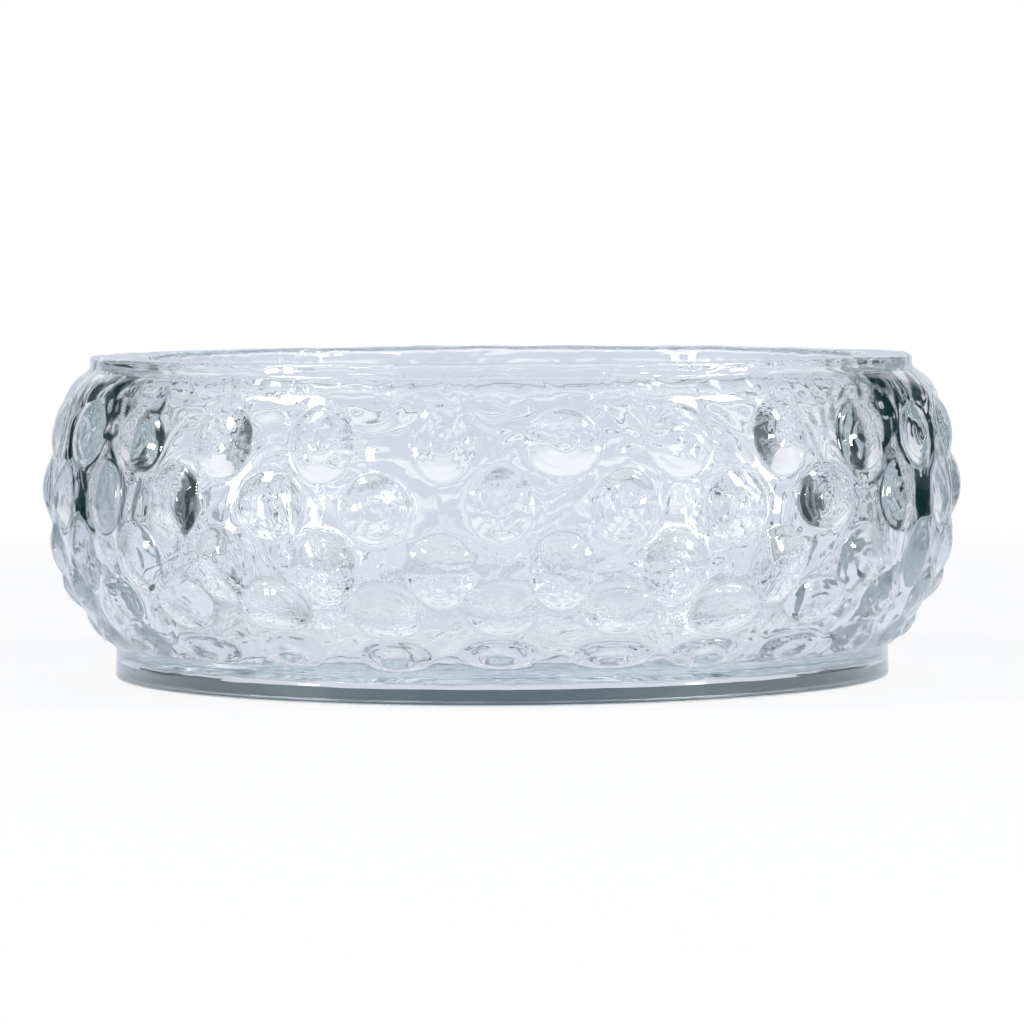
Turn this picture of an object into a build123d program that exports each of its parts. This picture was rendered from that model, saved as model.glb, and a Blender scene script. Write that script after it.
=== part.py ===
from build123d import *
import math
import os

# A heavy pressed-glass bowl for floating candles, standing on a round foot.
# It is one piece of glass, kept here as the four zones that its mould gives it:
# a standing ring, a solid foot disc, the hobnailed bowl and a plain rim collar.
# Sizes are millimetres. The origin is the centre of the footprint, on the table, with +Z up.
# The side that faces the viewer is -Y.

# Outside of the bowl, from the table up. The smooth wall between the hobnails is widest at the belly.
belly_radius = 98.0
foot_height = 6.6
lower_rise = 31.4  # foot to belly
upper_rise = 22.0  # belly to shoulder
shoulder_rise = 6.6  # shoulder to collar
collar_height = 3.4
foot_inset = 14.0  # how far the wall draws in from the belly down to the foot
shoulder_inset = 3.0  # the same, from the belly up to the shoulder
collar_inset = 5.7  # from the shoulder up to the collar

# Foot
foot_recess = 3.6  # depth of the hollow under the bowl
ring_width = 12.0
foot_edge_radius = 0.6
ring_inner_edge_radius = 0.5

# Glass thickness and the hollow inside
wall = 10.0  # at the belly
rim_wall = 10.3
floor_thickness = 5.4  # above the foot disc
floor_inset = 13.1  # how far the inner wall draws in from the belly down to the floor
floor_corner_radius = 8.0
rim_outer_edge_radius = 1.1
rim_inner_edge_radius = 1.6

# Hobnails: round caps. Three staggered rows go round the bowl, a fourth of smaller caps lies under them,
# and each cap of the fourth has a still smaller one below it, close over the foot.
hobnails_per_row = 25
full_rows = 3
top_row_rise = 15.8  # from the belly up to the centres of the top row
row_pitch = 12.8  # from one full row's centres to the next, in height
hobnail_rise = 2.0
hobnail_curve_radius = 16.5
low_row_drop = 18.4  # from the belly down to the centres of the fourth row
low_hobnail_rise = 2.0
low_hobnail_curve_radius = 11.5
foot_row_drop = 27.0  # from the belly down to the centres of the row over the foot
foot_hobnail_rise = 1.6
foot_hobnail_curve_radius = 8.0
hobnail_root = 2.0  # depth of each cap's flat back inside the wall
first_hobnail_angle = -90.0  # degrees: a row that isn't turned has a hobnail that faces the viewer

# Heights and radii that follow
belly_height = foot_height + lower_rise
shoulder_height = belly_height + upper_rise
collar_base = shoulder_height + shoulder_rise
bowl_height = collar_base + collar_height
floor_height = foot_height + floor_thickness
foot_radius = belly_radius - foot_inset
shoulder_radius = belly_radius - shoulder_inset
rim_radius = shoulder_radius - collar_inset
mouth_radius = rim_radius - rim_wall
inner_belly_radius = belly_radius - wall
floor_radius = inner_belly_radius - floor_inset
lower_arc_radius = (foot_inset**2 + lower_rise**2) / (2 * foot_inset)
upper_arc_radius = (shoulder_inset**2 + upper_rise**2) / (2 * shoulder_inset)

os.makedirs("parts", exist_ok=True)


def hobnail_row(rise_above_belly, turned):
    """One location for each hobnail of a row, on the wall and facing outwards. A turned row is half a pitch on."""
    arc_radius = upper_arc_radius if rise_above_belly > 0 else lower_arc_radius
    slope = math.asin(rise_above_belly / arc_radius)
    radius = belly_radius - arc_radius * (1 - math.cos(slope))
    on_wall = Plane(
        origin=(radius, 0, belly_height + rise_above_belly),
        x_dir=(0, 1, 0),
        z_dir=(math.cos(slope), 0, math.sin(slope)),
    )
    pitch = 360 / hobnails_per_row
    row_start = first_hobnail_angle + (pitch / 2 if turned else 0)
    spins = [Location((0, 0, 0), (0, 0, row_start + pitch * number)) for number in range(hobnails_per_row)]
    return [spin * on_wall.location for spin in spins]


def hobnail(rise, curve_radius):
    """A round cap with its flat back inside the wall, its axis along +Z."""
    cap_depth = rise + hobnail_root
    back_radius = math.sqrt(curve_radius**2 - (curve_radius - cap_depth) ** 2)
    with BuildPart(mode=Mode.PRIVATE) as cap:
        with BuildSketch(Plane.XZ):
            with BuildLine():
                crown = TangentArc((0, rise), (back_radius, -hobnail_root), tangent=(1, 0))
                Polyline(crown @ 1, (0, -hobnail_root), crown @ 0)
            make_face()
        revolve(axis=Axis.Z)
    return cap.part


# Standing ring: the only part of the glass that touches the table
with BuildPart() as foot_ring:
    Cylinder(foot_radius, foot_recess, align=(Align.CENTER, Align.CENTER, Align.MIN))
    Cylinder(
        foot_radius - ring_width,
        foot_recess,
        align=(Align.CENTER, Align.CENTER, Align.MIN),
        mode=Mode.SUBTRACT,
    )
    standing_edges = foot_ring.faces().sort_by(Axis.Z)[0].edges().sort_by(SortBy.LENGTH)
    fillet(standing_edges[0], ring_inner_edge_radius)
    standing_edges = foot_ring.faces().sort_by(Axis.Z)[0].edges().sort_by(SortBy.LENGTH)
    fillet(standing_edges[-1], foot_edge_radius)
foot_ring.part.label = "foot_ring"
export_step(foot_ring.part, "parts/foot_ring.step")

# Foot disc: the solid plate between the ring and the bowl
with BuildPart() as foot_disc:
    with BuildSketch(Plane.XY.offset(foot_recess)):
        Circle(foot_radius)
    extrude(amount=foot_height - foot_recess)
foot_disc.part.label = "foot_disc"
export_step(foot_disc.part, "parts/foot_disc.step")

full_hobnail = hobnail(hobnail_rise, hobnail_curve_radius)
low_hobnail = hobnail(low_hobnail_rise, low_hobnail_curve_radius)
foot_hobnail = hobnail(foot_hobnail_rise, foot_hobnail_curve_radius)

# The bowl: a barrel-shaped wall and a flat floor, with the hobnails standing out of the wall
with BuildPart() as hobnail_bowl:
    with BuildSketch(Plane.XZ) as wall_section:
        with BuildLine():
            belly = (belly_radius, belly_height)
            lower_wall = TangentArc(belly, (foot_radius, foot_height), tangent=(0, -1))
            upper_wall = TangentArc(belly, (shoulder_radius, shoulder_height), tangent=(0, 1))
            shoulder = TangentArc(upper_wall @ 1, (rim_radius, collar_base), tangent=upper_wall % 1)
            inner_belly = (inner_belly_radius, belly_height)
            inner_top = TangentArc(inner_belly, (mouth_radius, collar_base), tangent=(0, 1))
            inner_low = TangentArc(inner_belly, (floor_radius, floor_height), tangent=(0, -1))
            Line(shoulder @ 1, inner_top @ 1)
            Polyline(inner_low @ 1, (0, floor_height), (0, foot_height), lower_wall @ 1)
        make_face()
        floor_corner = wall_section.vertices().sort_by_distance((floor_radius, 0, floor_height))[0]
        fillet(floor_corner, floor_corner_radius)
    revolve(axis=Axis.Z)
    for row in range(full_rows):
        with Locations(*hobnail_row(top_row_rise - row_pitch * row, turned=row % 2 == 0)):
            add(full_hobnail)
    with Locations(*hobnail_row(-low_row_drop, turned=False)):
        add(low_hobnail)
    with Locations(*hobnail_row(-foot_row_drop, turned=False)):
        add(foot_hobnail)
hobnail_bowl.part.label = "hobnail_bowl"
export_step(hobnail_bowl.part, "parts/hobnail_bowl.step")

# Rim collar: a short plain band round the mouth
with BuildPart() as rim_collar:
    with BuildSketch(Plane.XY.offset(collar_base)):
        Circle(rim_radius)
        Circle(mouth_radius, mode=Mode.SUBTRACT)
    extrude(amount=collar_height)
    rim_edges = rim_collar.faces().sort_by(Axis.Z)[-1].edges().sort_by(SortBy.LENGTH)
    fillet(rim_edges[0], rim_inner_edge_radius)
    rim_edges = rim_collar.faces().sort_by(Axis.Z)[-1].edges().sort_by(SortBy.LENGTH)
    fillet(rim_edges[-1], rim_outer_edge_radius)
rim_collar.part.label = "rim_collar"
export_step(rim_collar.part, "parts/rim_collar.step")

print("height", bowl_height, "foot radius", foot_radius, "mouth radius", mouth_radius)
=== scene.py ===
import math
import random

import bmesh
import bpy
from mathutils import Euler, Matrix, Vector, noise


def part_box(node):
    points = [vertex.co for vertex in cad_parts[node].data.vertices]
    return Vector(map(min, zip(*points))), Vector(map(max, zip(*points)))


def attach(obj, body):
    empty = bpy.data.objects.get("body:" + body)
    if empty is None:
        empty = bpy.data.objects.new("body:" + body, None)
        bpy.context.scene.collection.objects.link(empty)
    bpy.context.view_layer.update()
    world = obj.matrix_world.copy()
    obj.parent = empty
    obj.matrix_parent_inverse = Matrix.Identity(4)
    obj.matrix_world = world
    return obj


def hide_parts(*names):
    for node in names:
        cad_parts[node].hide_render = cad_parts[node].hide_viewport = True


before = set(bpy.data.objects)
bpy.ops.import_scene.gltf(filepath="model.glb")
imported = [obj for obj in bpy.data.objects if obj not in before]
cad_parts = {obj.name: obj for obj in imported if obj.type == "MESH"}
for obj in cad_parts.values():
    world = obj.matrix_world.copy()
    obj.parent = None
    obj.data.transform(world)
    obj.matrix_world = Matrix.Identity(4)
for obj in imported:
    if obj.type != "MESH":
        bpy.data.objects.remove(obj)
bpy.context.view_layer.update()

# The bowl is one piece of pressed glass, so one closed skin stands for its four solids.
# Everything is in metres. The origin is on the table, under the bowl's axis, and -Y faces the viewer.

MM = 0.001

# Sizes that the solids give
foot_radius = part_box("foot_ring")[1].x
recess_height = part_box("foot_ring")[1].z
foot_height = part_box("foot_disc")[1].z
collar_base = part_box("rim_collar")[0].z
rim_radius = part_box("rim_collar")[1].x
bowl_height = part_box("rim_collar")[1].z

# Sizes shared with the part's source
belly_radius = 98 * MM
belly_height = 38 * MM
shoulder_radius = 95 * MM
shoulder_height = 60 * MM
mouth_radius = 79 * MM
inner_belly_radius = 88 * MM
floor_height = 12 * MM
floor_radius = 74.9 * MM
ring_width = 12 * MM
ring_inner_radius = foot_radius - ring_width
hobnails_per_row = 25
first_hobnail_angle = math.radians(-90)  # towards the viewer

# Each row of hobnails: height, rise, depth of the dimple in each top, half width, half height along the wall,
# and whether it is turned by half a pitch
hobnail_rows = (
    (53.8 * MM, 2.0 * MM, 0, 7.0 * MM, 7.0 * MM, True),
    (41.0 * MM, 2.0 * MM, 0, 7.0 * MM, 7.0 * MM, False),
    (28.2 * MM, 2.0 * MM, 0, 7.0 * MM, 7.0 * MM, True),
    (19.8 * MM, 1.9 * MM, 0, 7.4 * MM, 5.2 * MM, False),
    (10.6 * MM, 1.7 * MM, 1.7 * MM, 7.8 * MM, 4.0 * MM, False),
)

# How uneven the hobnails are
hobnail_seed = 5
height_shake = 0.6 * MM
turn_shake = 0.5  # degrees
fill_range = (0.75, 1)  # of the full rise
stretch_range = (0.9, 1.1)  # of the width, with the height along the wall the other way round

# How far each soft edge reaches from its corner
floor_edge = 2.6 * MM
mouth_edge = 1.6 * MM
rim_edge = 1.2 * MM
collar_edge = 0.9 * MM
foot_join_edge = 0.8 * MM
foot_edge = 0.6 * MM
ring_edge = 0.5 * MM

# Softness of the pressed glass: the depth of each kind of ripple, and how far apart its swirls lie
dimple_share = 0.5  # how far a dimple reaches, of the way from the hobnail's top to its edge
hobnail_blend = 0.6 * MM  # how softly a hobnail meets the wall and its neighbours
wall_ripple = 0.35 * MM
wall_ripple_size = 11 * MM
inner_ripple = 0.5 * MM
inner_ripple_size = 14 * MM
skin_ripple = 0.12 * MM
outer_skin_size = 3.5 * MM
inner_skin_size = 5 * MM
rim_wave = 0.6 * MM
rim_wave_size = 40 * MM
drift_size_share = 2.5  # the drift that bends the swirls is this much coarser than they are
drift_reach_share = 1.6
swirl_seed = 1  # without one the swirls would differ from run to run

# Finer relief, which only the material shows
edge_height = 0.6 * MM  # the steep edge of each hobnail
ring_height = 0.015 * MM  # faint rings round each hobnail, left by the turning of the mould's cutter
swirl_height = 0.045 * MM
grain_height = 0.01 * MM
streak_height = 0.02 * MM  # level streaks on the plain foot and collar
plain_margin = 2 * MM  # over which the wall's relief sets in above the foot and ends below the collar
edge_shares = (0.84, 1.12)  # of the way from a hobnail's top to its edge
ring_spacing_share = 0.31
ring_reach_share = 1.3
plain_share = 2  # anywhere away from the hobnails
grain_fineness = 330
grain_twist = 1.2
swirl_fineness = 50
swirl_twist = 1.5
swirl_contour = 0.3  # of the noise's range, from one crest to the next
streak_fineness = 700
streak_squeeze = (0.1, 0.1, 1)  # draws the streaks out level

# Glass
glass_ior = 1.52
glass_tint = (0.1, 0.5, 0.54, 1)
tint_density = 1.4
# The dark teal colour of the ring's inner face is painted shade, standing in for the shadowed table under the
# bowl as seen through the foot
ground_face_painted_shade = (0.014, 0.032, 0.039, 1)
ground_roughness = 0.4
light_bounces = 20  # light crosses many walls before it leaves the bowl

# Studio: a pale floor and room, with a darker horizon and ceiling and a dark gap on each side of the backdrop
white = (1, 1, 1, 1)
lit_floor_tone = (0.95, 0.95, 0.95, 1)
floor_tone = (0.78, 0.82, 0.91, 1)
horizon_tone = (0.66, 0.7, 0.81, 1)
room_tone = (0.92, 0.94, 1, 1)
ceiling_tone = (0.5, 0.55, 0.65, 1)
gap_tone = (0.006, 0.026, 0.032, 1)
dark_gap_turns = (-56, 54)  # degrees round the bowl, from the far side
dark_gap_edge = (24, 32)  # degrees from a gap's middle to where it is all dark, and all pale
horizon_fade = (0.06, 0.2)  # height in a view direction: 0 is level, 1 is straight up or down
ceiling_fade = (0.3, 0.6)
stage_radius = 1
stage_sides = 96
stage_drop = 0.3 * MM  # keeps the floor clear of the foot
seen_glow_share = 0.8  # the floor as the camera sees it
seen_fade = (0.35, 0.6)  # distances from the bowl's axis where the floor starts to fade and is gone
glass_glow_share = 0.75  # the floor as it shows in the glass
glass_fade = (0.18, 0.32)

# Soft boxes, one pair of each: degrees round the bowl from the far side, height, distance, size and watts
soft_boxes = {
    "low_soft_box": (117, 0.13, 1.2, 0.17, 4.5),
    "high_soft_box": (110, 0.95, 0.9, 0.25, 4.5),
    "small_soft_box": (142, 0.4, 1.2, 0.1, 1.6),
}

# Camera
camera_lens = 186.3
camera_place = (0.0025, -1.152, 0.0946)
camera_tilt = 2.96  # degrees down
camera_roll = 0.25  # degrees

# Fineness of the skin
steps_per_hobnail = 24
ring_step = 1.05 * MM
support = 0.35 * MM  # a flat keeps a ring this close to each of its edges, so that its shading stays flat
flat_shares = (0.3, 0.6, 0.85)  # of its radius: where a round flat has its other rings
fewest_arc_steps = 4
soft_edge_segments = 5
seam_reach = 0.01 * MM
outward_share = 0.3  # of a normal, towards the outside, from which the skin counts as the outer wall


def arc_centre(start, normal, end):
    """Centre of the arc that leaves start at right angles to its outward normal and reaches end."""
    run = Vector(end) - Vector(start)
    outward = Vector(normal).normalized()
    arc_radius = run.length_squared / (-2 * outward.dot(run))
    return Vector(start) - outward * arc_radius


def section_point(bm, point):
    """A vertex of the section, which is drawn in the plane of +X and Z as (radius, height)."""
    return bm.verts.new((point[0], 0, point[1]))


def draw_line(bm, tip, *points):
    """Carries the section on from its tip through straight runs."""
    for point in points:
        corner = section_point(bm, point)
        bm.edges.new((tip, corner))
        tip = corner
    return tip


def draw_arc(bm, tip, centre, end, step):
    """Carries the section on round a centre, with rings about one step apart."""
    start = Vector((tip.co.x, tip.co.z)) - Vector(centre)
    turn = start.angle_signed(Vector(end) - Vector(centre))
    arc = bmesh.ops.spin(
        bm,
        geom=[tip],
        cent=(centre[0], 0, centre[1]),
        axis=(0, 1, 0),
        angle=turn,
        steps=max(fewest_arc_steps, math.ceil(abs(turn) * start.length / step)),
        use_duplicate=False,
    )
    tip = arc["geom_last"][0]
    tip.co = (end[0], 0, end[1])
    return tip


def draw_section(bm):
    """The bowl's section, from the middle of its floor over the rim to the middle of its underside."""
    inner_belly = (inner_belly_radius, belly_height)
    outer_belly = (belly_radius, belly_height)
    inner_low = (floor_radius, floor_height)
    inner_top = (mouth_radius, collar_base)
    shoulder = (shoulder_radius, shoulder_height)
    collar_foot = (rim_radius, collar_base)
    foot_join = (foot_radius, foot_height)
    outward = Vector((1, 0))
    inner_low_centre = arc_centre(inner_belly, outward, inner_low)
    inner_top_centre = arc_centre(inner_belly, outward, inner_top)
    upper_centre = arc_centre(outer_belly, outward, shoulder)
    lower_centre = arc_centre(outer_belly, outward, foot_join)
    shoulder_centre = arc_centre(shoulder, Vector(shoulder) - upper_centre, collar_foot)

    # Floor and inner wall
    flat_end = floor_radius - floor_edge
    low_spoke = Vector(inner_low) - inner_low_centre
    wall_start = inner_low_centre + Matrix.Rotation(floor_edge / low_spoke.length, 2) @ low_spoke
    tip = section_point(bm, (0, floor_height))
    for share in flat_shares:
        tip = draw_line(bm, tip, (flat_end * share, floor_height))
    tip = draw_line(bm, tip, (flat_end - support, floor_height), (flat_end, floor_height))
    floor_edge_centre = arc_centre((flat_end, floor_height), (0, -1), wall_start)
    tip = draw_arc(bm, tip, floor_edge_centre, wall_start, ring_step)
    tip = draw_arc(bm, tip, inner_low_centre, inner_belly, 2 * ring_step)
    tip = draw_arc(bm, tip, inner_top_centre, inner_top, 2 * ring_step)

    # Rim and collar
    mouth_corner = tip = draw_line(bm, tip, (mouth_radius, bowl_height))
    tip = draw_line(bm, tip, (mouth_radius + mouth_edge + support, bowl_height))
    tip = draw_line(bm, tip, (rim_radius - rim_edge - support, bowl_height))
    rim_corner = tip = draw_line(bm, tip, (rim_radius, bowl_height))
    collar_corner = tip = draw_line(bm, tip, collar_foot)

    # Outer wall
    tip = draw_arc(bm, tip, shoulder_centre, shoulder, ring_step)
    tip = draw_arc(bm, tip, upper_centre, outer_belly, ring_step)
    tip = draw_arc(bm, tip, lower_centre, foot_join, ring_step)
    foot_join_corner = tip

    # Foot, standing ring and the hollow under the bowl
    tip = draw_line(bm, tip, (foot_radius, foot_height - foot_join_edge - support))
    tip = draw_line(bm, tip, (foot_radius, foot_edge + support))
    foot_corner = tip = draw_line(bm, tip, (foot_radius, 0))
    tip = draw_line(bm, tip, (foot_radius - foot_edge - support, 0))
    tip = draw_line(bm, tip, (ring_inner_radius + ring_edge + support, 0))
    ring_corner = tip = draw_line(bm, tip, (ring_inner_radius, 0))
    recess_corner = tip = draw_line(bm, tip, (ring_inner_radius, recess_height))
    tip = draw_line(bm, tip, (ring_inner_radius - ring_edge - support, recess_height))
    for share in (*reversed(flat_shares), 0):
        tip = draw_line(bm, tip, (ring_inner_radius * share, recess_height))

    soft_edges = (
        (mouth_corner, mouth_edge),
        (rim_corner, rim_edge),
        (collar_corner, collar_edge),
        (foot_join_corner, foot_join_edge),
        (foot_corner, foot_edge),
        (ring_corner, ring_edge),
        (recess_corner, ring_edge),
    )
    for corner, reach in soft_edges:
        bmesh.ops.bevel(
            bm,
            geom=[corner],
            offset=reach,
            offset_type="OFFSET",
            segments=soft_edge_segments,
            profile=0.5,
            affect="VERTICES",
            material=-1,
        )


def hobnail_places():
    """Top, turn to its own axes, fill and stretch of each hobnail, one list for each row."""
    shake = random.Random(hobnail_seed)
    outer_belly = Vector((belly_radius, belly_height))
    upper_centre = arc_centre(outer_belly, (1, 0), (shoulder_radius, shoulder_height))
    lower_centre = arc_centre(outer_belly, (1, 0), (foot_radius, foot_height))
    places = []
    for height, *_, turned in hobnail_rows:
        centre = upper_centre if height > belly_height else lower_centre
        arc_radius = belly_radius - centre.x
        row = []
        for number in range(hobnails_per_row):
            shaken_height = height + shake.uniform(-height_shake, height_shake)
            slope = math.asin((shaken_height - belly_height) / arc_radius)
            top = centre + Vector((math.cos(slope), math.sin(slope))) * arc_radius
            around = hobnail_angle(number, turned) + math.radians(shake.uniform(-turn_shake, turn_shake))
            to_place = Matrix.Rotation(around, 3, "Z") @ Matrix.Rotation(-slope, 3, "Y")
            top = Matrix.Rotation(around, 3, "Z") @ Vector((top.x, 0, top.y))
            fill = shake.uniform(*fill_range)
            stretch = shake.uniform(*stretch_range)
            row.append((top, to_place.transposed(), fill, stretch))
        places.append(row)
    return places


def hobnail_angle(number, turned):
    """Where a hobnail stands round the bowl."""
    return first_hobnail_angle + math.tau / hobnails_per_row * (number + turned / 2)


def faces_outwards(v):
    """Whether a vertex of the skin looks away from the bowl's axis."""
    return v.normal.x * v.co.x + v.normal.y * v.co.y > outward_share * math.hypot(v.co.x, v.co.y)


def soft_max(first, second, reach):
    """The larger of two lengths, with a soft corner where they are within reach of each other."""
    nearness = max(reach - abs(first - second), 0) / reach
    return max(first, second) + nearness * nearness * reach / 4


def press_hobnails(bm):
    """Lifts the outer wall on to the hobnails, and notes how far each vertex is from a hobnail's top."""
    bm.normal_update()
    places = hobnail_places()
    from_top = bm.verts.layers.float.new("share_from_hobnail_top")
    for v in bm.verts:
        v[from_top] = plain_share
    moves = []
    for v in bm.verts:
        if not foot_height < v.co.z < collar_base or not faces_outwards(v):
            continue
        turns = (math.atan2(v.co.y, v.co.x) - first_hobnail_angle) / math.tau * hobnails_per_row
        lift = 0
        for (_, rise, dimple, half_width, half_height, turned), row in zip(hobnail_rows, places):
            top, to_place, fill, stretch = row[round(turns - turned / 2) % hobnails_per_row]
            _, aside, upward = to_place @ (top - v.co)
            away = math.hypot(aside / half_width / stretch, upward / half_height * stretch)
            dip = dimple * max(1 - (away / dimple_share) ** 2, 0)
            lift = soft_max(lift, fill * (rise * (1 - away**2) - dip), hobnail_blend)
            v[from_top] = min(v[from_top], away)
        moves.append((v, v.normal * lift))
    for v, move in moves:
        v.co += move


def swirl(place, size):
    """Smooth, swirling unevenness from 0 to 1 that repeats about every size."""
    drift = Vector(noise.noise_vector(place / (drift_size_share * size)))
    return 0.5 + 0.5 * noise.noise(place / size + drift_reach_share * drift)


def add_ripples(bm):
    """Uneven glass: both walls lose a little, never gain, so that the bowl keeps its greatest sizes.

    What lies below half the foot's height stays true, so that the bowl stands flat.
    """
    noise.seed_set(swirl_seed)
    bm.normal_update()
    moves = []
    for v in bm.verts:
        if v.co.z < foot_height / 2:
            continue
        if faces_outwards(v):
            depth = wall_ripple * swirl(v.co, wall_ripple_size) + skin_ripple * swirl(v.co, outer_skin_size)
        else:
            depth = inner_ripple * swirl(v.co, inner_ripple_size) + skin_ripple * swirl(v.co, inner_skin_size)
        moves.append((v, v.normal * depth))
        if v.co.z > collar_base + rim_edge:
            moves.append((v, Vector((0, 0, rim_wave * swirl(v.co, rim_wave_size)))))
    for v, move in moves:
        v.co -= move


def make_bowl(glass):
    """The bowl's skin. Its section is spun through one hobnail's pitch, and that wedge through the rest."""
    bm = bmesh.new()
    draw_section(bm)
    turn = math.tau / hobnails_per_row
    spin = {"cent": (0, 0, 0), "axis": (0, 0, 1)}
    bmesh.ops.spin(bm, geom=bm.verts[:] + bm.edges[:], angle=turn, steps=steps_per_hobnail, **spin)
    wedge = bm.verts[:] + bm.edges[:] + bm.faces[:]
    others = hobnails_per_row - 1
    bmesh.ops.spin(bm, geom=wedge, angle=turn * others, steps=others, use_duplicate=True, **spin)
    bmesh.ops.remove_doubles(bm, verts=bm.verts[:], dist=seam_reach)
    bmesh.ops.recalc_face_normals(bm, faces=bm.faces[:])
    press_hobnails(bm)
    add_ripples(bm)
    for face in bm.faces:
        face.smooth = True
    mesh = bpy.data.meshes.new("glass_bowl")
    bm.to_mesh(mesh)
    bm.free()
    mesh.materials.append(glass)
    bowl = bpy.data.objects.new("glass_bowl", mesh)
    bpy.context.scene.collection.objects.link(bowl)
    return bowl


def add_node(tree, kind, inputs=None, **settings):
    """A new shader node. An input that is given a socket is linked to it, any other is set to the value."""
    node = tree.nodes.new("ShaderNode" + kind)
    for name, value in settings.items():
        setattr(node, name, value)
    for name, value in (inputs or {}).items():
        if isinstance(value, bpy.types.NodeSocket):
            tree.links.new(value, node.inputs[name])
        else:
            node.inputs[name].default_value = value
    return node


def smooth_step(tree, value, start, end):
    """0 before start, 1 after end, and a smooth rise between them."""
    limits = {"Value": value, "From Min": start, "From Max": end}
    return add_node(tree, "MapRange", limits, interpolation_type="SMOOTHSTEP").outputs["Result"]


def times(tree, first, second):
    """The product of two values."""
    return add_node(tree, "Math", {0: first, 1: second}, operation="MULTIPLY").outputs["Value"]


def wave(tree, value, length):
    """From -1 to 1 and back again, once in each length."""
    turn = times(tree, value, math.tau / length)
    return add_node(tree, "Math", {0: turn}, operation="SINE").outputs["Value"]


def mix_colour(tree, share, first, second):
    inputs = {"Factor": share, "A": first, "B": second}
    return add_node(tree, "Mix", inputs, data_type="RGBA").outputs["Result"]


def mix_shader(tree, share, first, second):
    inputs = {"Fac": share, 1: first.outputs[0], 2: second.outputs[0]}
    return add_node(tree, "MixShader", inputs)


def new_material(name):
    """A new material with no nodes, and its node tree."""
    material = bpy.data.materials.new(name)
    material.use_nodes = True
    material.node_tree.nodes.clear()
    return material, material.node_tree


def pressed_glass():
    """Clear glass with a slight blue-green tint and fine relief. The standing ring's inner face is rough from
    grinding, and its dark teal colour is painted shade, standing in for the shadowed table under the bowl as
    the foot shows it.
    """
    material, tree = new_material("pressed_glass")
    place = add_node(tree, "TexCoord").outputs["Object"]
    parts = add_node(tree, "SeparateXYZ", {"Vector": place})
    flat_place = add_node(tree, "CombineXYZ", {"X": parts.outputs["X"], "Y": parts.outputs["Y"]})
    radius = add_node(tree, "VectorMath", {0: flat_place.outputs["Vector"]}, operation="LENGTH")
    inside_ring = add_node(
        tree, "Math", {0: radius.outputs["Value"], 1: ring_inner_radius + ring_edge}, operation="LESS_THAN"
    )
    below_hollow = add_node(
        tree, "Math", {0: parts.outputs["Z"], 1: recess_height - 2 * ring_edge}, operation="LESS_THAN"
    )
    # Mask of the ring's inner face: it carries the face's roughness from grinding and its painted shade
    ground_and_painted_shade = times(tree, inside_ring.outputs["Value"], below_hollow.outputs["Value"])
    grain_noise = {"Vector": place, "Scale": grain_fineness, "Detail": 1, "Distortion": grain_twist}
    grain = add_node(tree, "TexNoise", grain_noise)
    field_noise = {"Vector": place, "Scale": swirl_fineness, "Detail": 0, "Distortion": swirl_twist}
    field = add_node(tree, "TexNoise", field_noise)
    from_top = add_node(tree, "Attribute", attribute_name="share_from_hobnail_top").outputs["Fac"]
    rings = wave(tree, from_top, ring_spacing_share)
    ring_share = smooth_step(tree, from_top, ring_reach_share, ring_spacing_share)
    above_foot = smooth_step(tree, parts.outputs["Z"], foot_height, foot_height + plain_margin)
    below_collar = smooth_step(tree, parts.outputs["Z"], collar_base, collar_base - plain_margin)
    patterned = times(tree, above_foot, below_collar)
    plain = add_node(tree, "Math", {0: 1, 1: patterned}, operation="SUBTRACT").outputs["Value"]
    squeezed = add_node(tree, "VectorMath", {0: place, 1: streak_squeeze}, operation="MULTIPLY")
    streak_noise = {"Vector": squeezed.outputs["Vector"], "Scale": streak_fineness, "Detail": 1}
    streak = add_node(tree, "TexNoise", streak_noise)
    edge = smooth_step(tree, from_top, edge_shares[1], edge_shares[0])
    edge = times(tree, edge, field.outputs["Fac"])
    relief = (
        (edge, edge_height),
        (times(tree, rings, ring_share), ring_height),
        (times(tree, wave(tree, field.outputs["Fac"], swirl_contour), above_foot), swirl_height),
        (times(tree, grain.outputs["Fac"], patterned), grain_height),
        (times(tree, streak.outputs["Fac"], plain), streak_height),
    )
    height = 0
    for shape, size in relief:
        sum_node = add_node(tree, "Math", {0: shape, 1: size, 2: height}, operation="MULTIPLY_ADD")
        height = sum_node.outputs["Value"]
    bump = add_node(tree, "Bump", {"Strength": 1, "Distance": 1, "Height": height})
    glass = add_node(
        tree,
        "BsdfPrincipled",
        {
            "Base Color": mix_colour(tree, ground_and_painted_shade, white, ground_face_painted_shade),
            "Roughness": times(tree, ground_and_painted_shade, ground_roughness),
            "IOR": glass_ior,
            "Transmission Weight": 1,
            "Normal": bump.outputs["Normal"],
        },
    )
    tint = add_node(tree, "VolumeAbsorption", {"Color": glass_tint, "Density": tint_density})
    add_node(tree, "OutputMaterial", {"Surface": glass.outputs["BSDF"], "Volume": tint.outputs["Volume"]})
    return material


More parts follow.
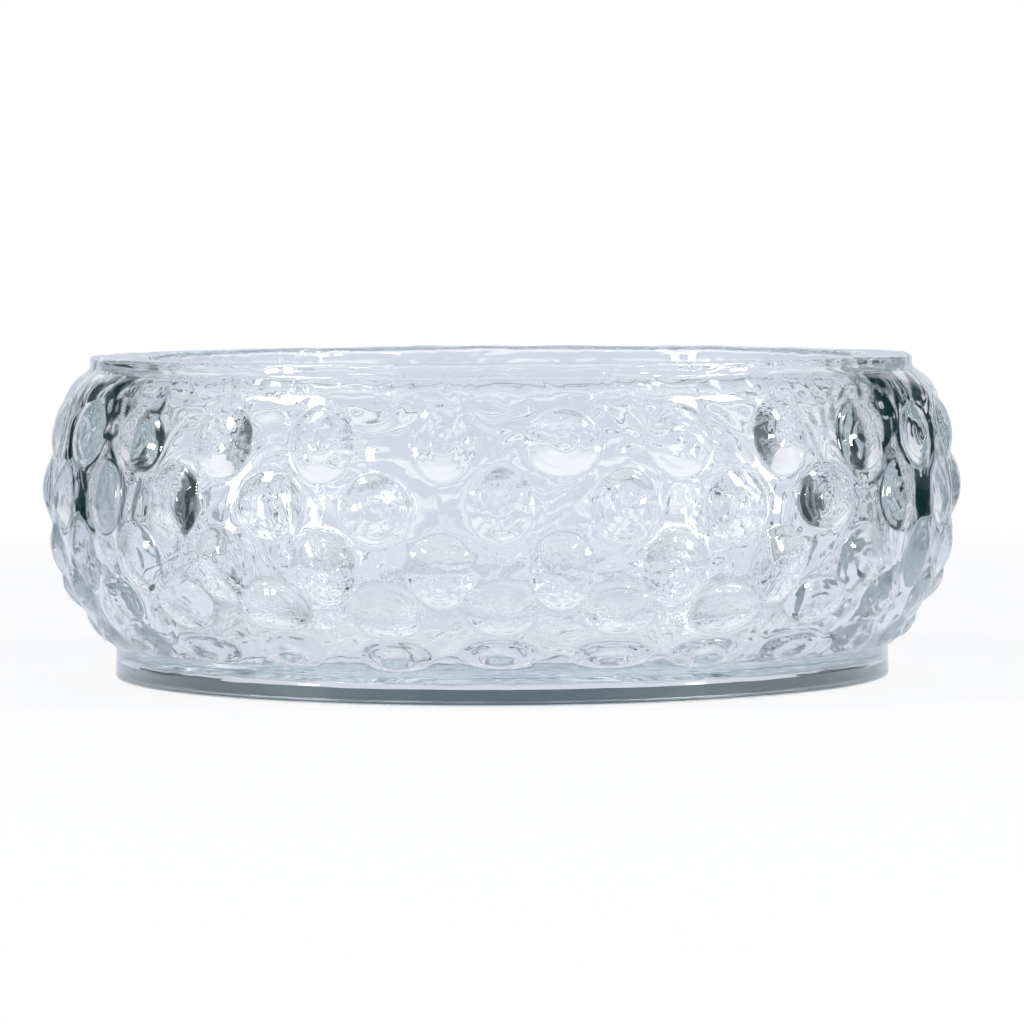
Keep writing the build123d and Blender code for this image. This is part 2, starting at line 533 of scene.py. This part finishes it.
def pale_floor():
    """White to the camera, with the bowl's shadow. The glass sees it pale, and only near the bowl."""
    material, tree = new_material("pale_floor")
    place = add_node(tree, "TexCoord").outputs["Object"]
    away = add_node(tree, "VectorMath", {0: place}, operation="LENGTH").outputs["Value"]
    see_through = add_node(tree, "BsdfTransparent")
    seen = mix_shader(
        tree,
        seen_glow_share,
        add_node(tree, "BsdfDiffuse", {"Color": lit_floor_tone}),
        add_node(tree, "Emission", {"Color": white}),
    )
    in_glass = mix_shader(
        tree,
        glass_glow_share,
        add_node(tree, "BsdfDiffuse", {"Color": floor_tone}),
        add_node(tree, "Emission", {"Color": floor_tone}),
    )
    to_camera = mix_shader(tree, smooth_step(tree, away, *seen_fade), seen, see_through)
    to_glass = mix_shader(tree, smooth_step(tree, away, *glass_fade), in_glass, see_through)
    seen_directly = add_node(tree, "LightPath").outputs["Is Camera Ray"]
    shade = mix_shader(tree, seen_directly, to_glass, to_camera)
    add_node(tree, "OutputMaterial", {"Surface": shade.outputs["Shader"]})
    return material


def make_floor():
    bm = bmesh.new()
    bmesh.ops.create_circle(bm, cap_ends=True, segments=stage_sides, radius=stage_radius)
    bmesh.ops.translate(bm, verts=bm.verts[:], vec=(0, 0, -stage_drop))
    mesh = bpy.data.meshes.new("floor")
    bm.to_mesh(mesh)
    bm.free()
    mesh.materials.append(pale_floor())
    floor = bpy.data.objects.new("floor", mesh)
    bpy.context.scene.collection.objects.link(floor)


def studio_world():
    """White to the camera. To the glass, a pale room with a dark gap on each side of the backdrop."""
    world = bpy.data.worlds.new("studio")
    bpy.context.scene.world = world
    world.use_nodes = True
    tree = world.node_tree
    tree.nodes.clear()
    direction = add_node(tree, "TexCoord").outputs["Generated"]
    parts = add_node(tree, "SeparateXYZ", {"Vector": direction})
    from_horizon = add_node(tree, "Math", {0: parts.outputs["Z"]}, operation="ABSOLUTE").outputs["Value"]
    room = mix_colour(tree, smooth_step(tree, from_horizon, *horizon_fade), horizon_tone, room_tone)
    room = mix_colour(tree, smooth_step(tree, from_horizon, *ceiling_fade), room, ceiling_tone)
    turn_here = add_node(
        tree, "Math", {0: parts.outputs["X"], 1: parts.outputs["Y"]}, operation="ARCTAN2"
    ).outputs["Value"]
    for turn in dark_gap_turns:
        aside = add_node(tree, "Math", {0: turn_here, 1: math.radians(turn)}, operation="SUBTRACT")
        aside = add_node(tree, "Math", {0: aside.outputs["Value"]}, operation="ABSOLUTE").outputs["Value"]
        inside = smooth_step(tree, aside, math.radians(dark_gap_edge[1]), math.radians(dark_gap_edge[0]))
        room = mix_colour(tree, inside, room, gap_tone)
    studio = add_node(tree, "Background", {"Color": room})
    backdrop = add_node(tree, "Background", {"Color": white})
    seen_directly = add_node(tree, "LightPath").outputs["Is Camera Ray"]
    shade = mix_shader(tree, seen_directly, studio, backdrop)
    add_node(tree, "OutputWorld", {"Surface": shade.outputs["Shader"]})


def add_lamp(name, turn, height, away, size, watts):
    """A square soft box that looks at the bowl from that turn round it, counted from the far side."""
    lamp = bpy.data.lights.new(name, "AREA")
    lamp.size = size
    lamp.energy = watts
    stand = bpy.data.objects.new(name, lamp)
    angle = math.radians(turn)
    stand.location = (away * math.sin(angle), away * math.cos(angle), height)
    aim = Vector((0, 0, belly_height)) - stand.location
    stand.rotation_euler = aim.to_track_quat("-Z", "Y").to_euler()
    bpy.context.scene.collection.objects.link(stand)


def add_camera():
    """Just above the rim, looking slightly down, with a long lens."""
    camera = bpy.data.cameras.new("camera")
    camera.lens = camera_lens
    camera.clip_start = 0.05
    camera.clip_end = 50
    stand = bpy.data.objects.new("camera", camera)
    stand.location = camera_place
    stand.rotation_euler = Euler((math.radians(90 - camera_tilt), math.radians(camera_roll), 0), "XYZ")
    bpy.context.scene.collection.objects.link(stand)
    bpy.context.scene.camera = stand


bowl = make_bowl(pressed_glass())
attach(bowl, "root")
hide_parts("foot_ring", "foot_disc", "hobnail_bowl", "rim_collar")
make_floor()
studio_world()
for side in (-1, 1):
    for name, (turn, *box) in soft_boxes.items():
        add_lamp(name, turn * side, *box)
add_camera()
cycles = bpy.context.scene.cycles
cycles.max_bounces = cycles.transmission_bounces = cycles.glossy_bounces = light_bounces
bpy.context.scene.view_settings.view_transform = "Standard"
